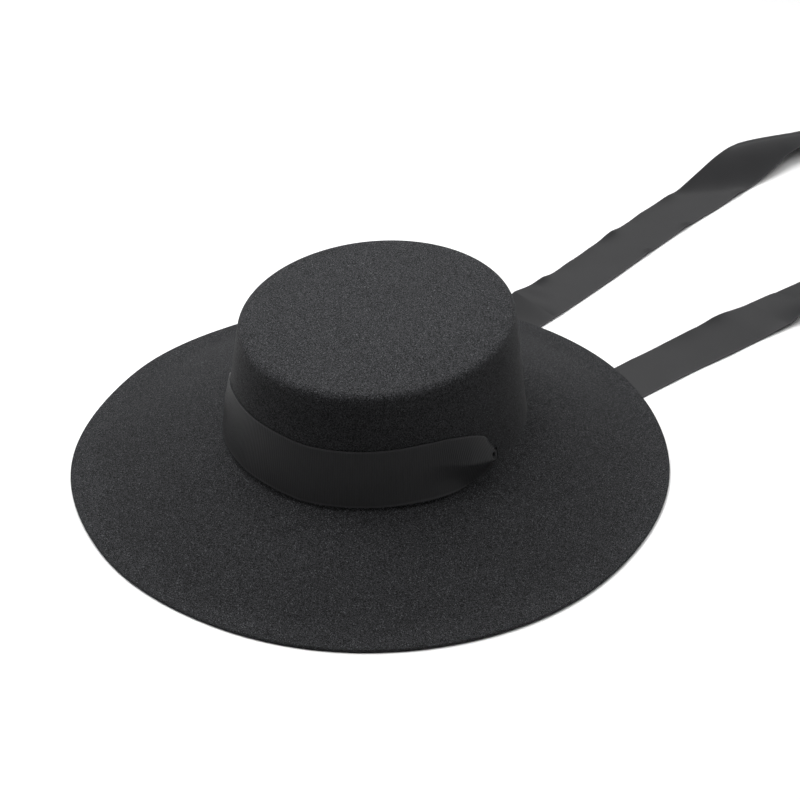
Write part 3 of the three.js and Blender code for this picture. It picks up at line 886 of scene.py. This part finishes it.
def new_group(name, numbers, results):
    """A node group that takes a place and some numbers; returns it, what it is given and its end."""
    group = bpy.data.node_groups.new(name, "ShaderNodeTree")
    group.interface.new_socket("Vector", in_out="INPUT", socket_type="NodeSocketVector")
    for socket in numbers:
        group.interface.new_socket(socket, in_out="INPUT", socket_type="NodeSocketFloat")
    for socket in results:
        group.interface.new_socket(socket, in_out="OUTPUT", socket_type="NodeSocketFloat")
    start = add_node(group, "NodeGroupInput", "In")
    end = add_node(group, "NodeGroupOutput", "Out")
    return group, start.outputs, end


def fibre_group():
    """Node group: tangled short fibres as a mask and a height, at any scale; least and most set the mask."""
    group = bpy.data.node_groups.get("Tangled fibres")
    if group:
        return group
    numbers = ("Fibres per metre", "Least", "Most")
    group, given, end = new_group("Tangled fibres", numbers, ("Fibres", "Height"))
    strands = add_node(group, "ShaderNodeTexNoise", "Strands", noise_dimensions="3D")
    feed_all(group, strands, {"Vector": given["Vector"], "Scale": given["Fibres per metre"], **FIBRE_NOISE})
    height = strands.outputs["Fac"]
    fibres = smooth_ramp(group, "Pick out strands", height, (given["Least"], given["Most"]), (0, 1))
    feed_all(group, end, {"Fibres": fibres, "Height": height})
    return group


def drift_group():
    """Node group: a slow drift of tone between two shares, as dye and handling leave it."""
    group = bpy.data.node_groups.get("Tone drift")
    if group:
        return group
    group, given, end = new_group("Tone drift", ("Patches per metre", "Low", "High"), ("Tone",))
    patches = add_node(group, "ShaderNodeTexNoise", "Patches", noise_dimensions="3D")
    feed_all(group, patches, {"Vector": given["Vector"], "Scale": given["Patches per metre"], **DYE_NOISE})
    spread = add_node(group, "ShaderNodeMapRange", "Spread")
    feed_all(group, spread, {"Value": patches.outputs["Fac"], **DYE_SPREAD})
    feed_all(group, spread, {"To Min": given["Low"], "To Max": given["High"]})
    feed_all(group, end, {"Tone": spread.outputs["Result"]})
    return group


def place_group(tree, group, label, place, values):
    """Place a node group in a material with its own values; returns its outputs."""
    node = add_node(tree, "ShaderNodeGroup", label, node_tree=group)
    feed_all(tree, node, {"Vector": place, **values})
    return node.outputs


def painted_light_tone(tree, parts, felt):
    """Painted light by place: the crown top, which faces the lights, and the rim, which the crown shades
    least, are made a little paler.
    """
    wide = math_node(tree, "DIVIDE", "Width share", parts["X"], felt.brim_half_width)
    long = math_node(tree, "DIVIDE", "Length share", parts["Y"], felt.brim_half_length)
    long_square = math_node(tree, "MULTIPLY", "Length square", long, long)
    squares = math_node(tree, "MULTIPLY_ADD", "Squares", wide, wide, long_square)
    rim_share = math_node(tree, "SQRT", "Rim share", squares)
    rim = smooth_ramp(tree, "Painted light at rim", rim_share, RIM_LIGHT_FADE, (0, RIM_PAINTED_LIGHT))
    top = smooth_ramp(tree, "Painted light on top", parts["Z"], (felt.height - TOP_LIGHT_FADE, felt.height), (0, TOP_PAINTED_LIGHT))
    with_rim = math_node(tree, "ADD", "With painted rim light", rim, 1)
    return math_node(tree, "ADD", "With painted top light", top, with_rim)


def shaded_wall_flecks(tree, parts, felt):
    """The share of pale fibres that show: all on top and brim, fewer on the mid wall as painted shade, where
    little light rakes its fibres.
    """
    half = (felt.height - felt.joint_height) / 2
    from_middle = math_node(tree, "SUBTRACT", "From mid wall", parts["Z"], felt.joint_height + half)
    off_middle = math_node(tree, "ABSOLUTE", "Off mid wall", from_middle)
    return smooth_ramp(tree, "Fewer flecks in wall shade", off_middle, (half - WALL_FADE, half), (SHADED_WALL_FLECKS, 1))


def felt_material(colours, felt):
    """Charcoal wool felt: a mottled short nap over a darker ground, a few pale fibres, quite matt; painted
    light makes its top and rim paler, and painted shade thins the flecks on its wall.
    """
    material, tree, shader = new_material("charcoal_felt")
    place = add_node(tree, "ShaderNodeTexCoord", "Place").outputs["Object"]
    parts = split_place(tree, place)
    fine = place_group(tree, fibre_group(), "Nap", place, NAP)
    coarse = place_group(tree, fibre_group(), "Clumps", place, CLUMPS)
    pale = place_group(tree, fibre_group(), "Pale fibres", place, PALE_FIBRES)
    dye = place_group(tree, drift_group(), "Dye", place, FELT_DYE)
    clumps = math_node(tree, "MULTIPLY", "Clump share", coarse["Fibres"], CLUMP_SHARE)
    nap = math_node(tree, "MULTIPLY_ADD", "Nap share", fine["Fibres"], NAP_SHARE, clumps)
    napped = mix_colours(tree, "Ground to nap", nap, (*colours.felt, 1), (*colours.felt_nap, 1))
    # The pale fibres are the felt's own; their thinning on the wall is painted shade
    flecks = math_node(tree, "MULTIPLY", "Flecks", pale["Fibres"], shaded_wall_flecks(tree, parts, felt))
    flecked = mix_colours(tree, "Pale fibres over nap", flecks, napped, (*colours.felt_fleck, 1))
    # The tone holds painted light on the crown top and rim, times the dye's random drift
    tone = math_node(tree, "MULTIPLY", "Tone", painted_light_tone(tree, parts, felt), dye["Tone"])
    tree.links.new(scale_colour(tree, "Toned felt", flecked, tone), shader.inputs["Base Color"])
    height = math_node(tree, "ADD", "Nap height", fine["Height"], coarse["Height"])
    add_relief(tree, shader, "Nap relief", height, FELT_RELIEF)
    feed_all(tree, shader, FELT_SURFACE)
    return material


def ribbon_material(colours, ribbon):
    """Charcoal grosgrain: fine cross ribs with a dull sheen, and a painted highlight along its edges."""
    material, tree, shader = new_material("charcoal_grosgrain")
    weave = add_node(tree, "ShaderNodeUVMap", "Along and across", uv_map="weave").outputs["UV"]
    parts = split_place(tree, weave)
    place = add_node(tree, "ShaderNodeTexCoord", "Place").outputs["Object"]
    dye = place_group(tree, drift_group(), "Dye", place, RIBBON_DYE)
    threads = place_group(tree, fibre_group(), "Threads", place, THREADS)
    turn = math_node(tree, "MULTIPLY", "Rib turn", parts["X"], 2 * math.pi / ribbon.rib_pitch)
    wave = math_node(tree, "COSINE", "Rib wave", turn)
    ribs = math_node(tree, "MULTIPLY_ADD", "Ribs", wave, 0.5, 0.5)
    shade = math_node(tree, "MULTIPLY_ADD", "Rib shade", ribs, RIB_SHADE, 1 - RIB_SHADE)
    toned = math_node(tree, "MULTIPLY", "Toned ribs", shade, dye["Tone"])
    half = ribbon.width / 2
    from_middle = math_node(tree, "SUBTRACT", "From the middle", parts["Y"], half)
    off_middle = math_node(tree, "ABSOLUTE", "Off the middle", from_middle)
    # Painted highlight along both edges, where light catches the selvage
    ends = [half - inset for inset in HIGHLIGHT_EDGE_INSETS]
    edge = smooth_ramp(tree, "Painted edge highlight", off_middle, ends, (0, PAINTED_EDGE_HIGHLIGHT))
    highlighted_tone = math_node(tree, "ADD", "With painted edge highlight", toned, edge)
    tree.links.new(scale_colour(tree, "Cloth", colours.ribbon, highlighted_tone), shader.inputs["Base Color"])
    fibres = threads["Fibres"]
    rough = math_node(tree, "MULTIPLY_ADD", "Thread gloss", fibres, THREAD_ROUGHNESS, RIBBON_ROUGHNESS)
    tree.links.new(rough, shader.inputs["Roughness"])
    height = math_node(tree, "MULTIPLY_ADD", "Thread relief", threads["Height"], THREAD_RELIEF, ribs)
    add_relief(tree, shader, "Weave relief", height, RIBBON_RELIEF)
    feed_all(tree, shader, RIBBON_SURFACE)
    return material


def floor_material(colours):
    """Plain matt white."""
    material, tree, shader = new_material("studio_white")
    feed_all(tree, shader, {"Base Color": (*colours.floor, 1), **FLOOR_SURFACE})
    return material


# Operators, one for the stage and one for each kind of piece

Softbox = namedtuple("Softbox", "name power heading height reach size")
SOFTBOXES = (
    Softbox("left_softbox", "left_power", 45, 65, 1.1, 0.8),
    Softbox("side_softbox", "side_power", 90, 65, 1.1, 0.8),
    Softbox("right_softbox", "right_power", -90, 65, 1.1, 0.8),
    Softbox("right_fill", "fill_power", -90, 15, 1.1, 0.8),
    Softbox("back_panel", "back_power", -10, 34, 2.6, 1.6),
)
FLOOR_SIZE = 30.0
FLOOR_DROP = 0.0001
SENSOR_WIDTH = 36
SIGHT_END = 100
WHITE = (1, 1, 1, 1)


class HAT_OT_stage(bpy.types.Operator):
    """Set up the camera, the white floor and the soft lights"""
    bl_idname = "hat.stage"
    bl_label = "Studio"

    def execute(self, context):
        studio = context.scene.hat_studio
        deselect_all()
        bpy.ops.object.camera_add(location=studio.camera_place, rotation=studio.camera_turn)
        camera = bpy.context.object
        camera.name = "photo_camera"
        camera.data.sensor_width = SENSOR_WIDTH
        camera.data.lens = studio.lens
        camera.data.clip_end = SIGHT_END
        context.scene.camera = camera
        self.lay_floor(context)
        self.hang_lights(studio)
        self.light_room(context, studio)
        context.scene.view_settings.view_transform = "Standard"
        return {"FINISHED"}

    def lay_floor(self, context):
        deselect_all()
        bpy.ops.mesh.primitive_plane_add(size=FLOOR_SIZE)
        floor = bpy.context.object
        floor.name = "studio_floor"
        bpy.ops.object.mode_set(mode="EDIT")
        bpy.ops.mesh.select_all(action="SELECT")
        bpy.ops.transform.translate(value=(0, 0, -FLOOR_DROP))
        bpy.ops.object.mode_set(mode="OBJECT")
        floor.data.materials.append(floor_material(context.scene.hat_colours))

    def hang_lights(self, studio):
        """Heading is degrees round from straight behind the hat, seen from the camera, plus to the left."""
        behind = math.degrees(math.atan2(-studio.camera_place[1], -studio.camera_place[0]))
        for box in SOFTBOXES:
            turn = math.radians(behind + box.heading)
            height = math.radians(box.height)
            level = math.cos(height)
            aim = Vector((math.cos(turn) * level, math.sin(turn) * level, math.sin(height)))
            deselect_all()
            bpy.ops.object.light_add(type="AREA", location=aim * box.reach)
            light = bpy.context.object
            light.name = box.name
            light.rotation_euler = aim.to_track_quat("Z", "Y").to_euler()
            light.data.shape = "SQUARE"
            light.data.size = box.size
            light.data.energy = getattr(studio, box.power)
            light.visible_camera = False

    def light_room(self, context, studio):
        world = bpy.data.worlds.new("studio_room")
        context.scene.world = world
        world.use_nodes = True
        tree = world.node_tree
        light = tree.nodes["Background"]
        feed_all(tree, light, {"Color": WHITE, "Strength": studio.room})
        seen = add_node(tree, "ShaderNodeBackground", "White beyond the floor")
        feed_all(tree, seen, {"Color": WHITE})
        rays = add_node(tree, "ShaderNodeLightPath", "What the ray is for")
        either = add_node(tree, "ShaderNodeMixShader", "Seen or lighting")
        tree.links.new(rays.outputs["Is Camera Ray"], either.inputs["Fac"])
        tree.links.new(light.outputs["Background"], either.inputs[1])
        tree.links.new(seen.outputs["Background"], either.inputs[2])
        tree.links.new(either.outputs["Shader"], tree.nodes["World Output"].inputs["Surface"])


class HAT_OT_ties(bpy.types.Operator):
    """Lay the two free ends of the ribbon from the slits out under the brim"""
    bl_idname = "hat.ties"
    bl_label = "Ribbon ties"

    def execute(self, context):
        felt = context.scene.hat_felt
        ribbon = context.scene.hat_ribbon
        material = ribbon_material(context.scene.hat_colours, ribbon)
        ties = (
            ("left_tie", "ribbon_tie_left", LEFT_TIE_ROWS, LEFT_RUFFLES, True),
            ("right_tie", "ribbon_tie_right", RIGHT_TIE_ROWS, RIGHT_RUFFLES, False),
        )
        for name, node, rows, ruffles, arched in ties:
            stations = tie_stations(rows, ruffles, arched, felt)
            tie = weave_ribbon(name, stations, ribbon)
            finish_piece(tie, node, material, RIBBON_SMOOTH)
        return {"FINISHED"}


class HAT_OT_felt(bpy.types.Operator):
    """Block the crown and brim from one piece of felt and cut its slits"""
    bl_idname = "hat.felt"
    bl_label = "Felt"

    def execute(self, context):
        felt = context.scene.hat_felt
        piece = draw_felt(felt)
        pull_rim(piece, felt)
        wear_edge(piece, felt)
        bpy.ops.mesh.select_all(action="SELECT")
        bpy.ops.mesh.normals_make_consistent(inside=False)
        bpy.ops.object.mode_set(mode="OBJECT")
        slack_felt(piece, felt)
        apply_modifier(piece, "SOLIDIFY", thickness=felt.thickness, offset=-1, use_even_offset=True)
        apply_modifier(piece, "BEVEL", width=CUT_EDGE_RADIUS, segments=CUT_EDGE_SEGMENTS,
                       limit_method="ANGLE", angle_limit=math.radians(CUT_EDGE_ANGLE))
        apply_modifier(piece, "SUBSURF", levels=1, render_levels=1)
        for slit in (RIGHT_SLIT, LEFT_SLIT):
            cut_slit(piece, felt, slit)
        material = felt_material(context.scene.hat_colours, felt)
        finish_piece(piece, "felt_body", material, FELT_SMOOTH)
        return {"FINISHED"}


class HAT_OT_band(bpy.types.Operator):
    """Run the ribbon round the front of the crown and gather it into the slits"""
    bl_idname = "hat.band"
    bl_label = "Ribbon band"

    def execute(self, context):
        felt = context.scene.hat_felt
        ribbon = context.scene.hat_ribbon
        left = band_half(felt, ribbon, LEFT_SLIT)
        right = band_half(felt, ribbon, RIGHT_SLIT)
        stations = np.concatenate([left[:0:-1], right])
        band = weave_ribbon("hat_band", stations, ribbon)
        material = bpy.data.materials["charcoal_grosgrain"]
        finish_piece(band, "ribbon_band", material, RIBBON_SMOOTH)
        return {"FINISHED"}


class HAT_PT_panel(bpy.types.Panel):
    """The hat's pieces, sizes and colours"""
    bl_idname = "HAT_PT_panel"
    bl_label = "Wide-brim hat"
    bl_space_type = "VIEW_3D"
    bl_region_type = "UI"
    bl_category = "Hat"

    def draw(self, context):
        for operator in OPERATORS:
            self.layout.operator(operator.bl_idname)
        for holder in SETTINGS:
            group = getattr(context.scene, holder)
            box = self.layout.box()
            for name in group.__annotations__:
                box.prop(group, name)


SETTINGS = {
    "hat_felt": FeltSizes,
    "hat_ribbon": RibbonSizes,
    "hat_colours": HatColours,
    "hat_studio": StudioSettings,
}
OPERATORS = (HAT_OT_stage, HAT_OT_ties, HAT_OT_felt, HAT_OT_band)


def register():
    for group in (*SETTINGS.values(), *OPERATORS, HAT_PT_panel):
        bpy.utils.register_class(group)
    for holder, group in SETTINGS.items():
        setattr(bpy.types.Scene, holder, bpy.props.PointerProperty(type=group))


def unregister():
    for holder in SETTINGS:
        delattr(bpy.types.Scene, holder)
    for group in (HAT_PT_panel, *OPERATORS, *SETTINGS.values()):
        bpy.utils.unregister_class(group)


def main():
    register()
    bpy.ops.hat.stage()
    bpy.ops.hat.ties()
    bpy.ops.hat.felt()
    bpy.ops.hat.band()


if __name__ == "__main__":
    main()
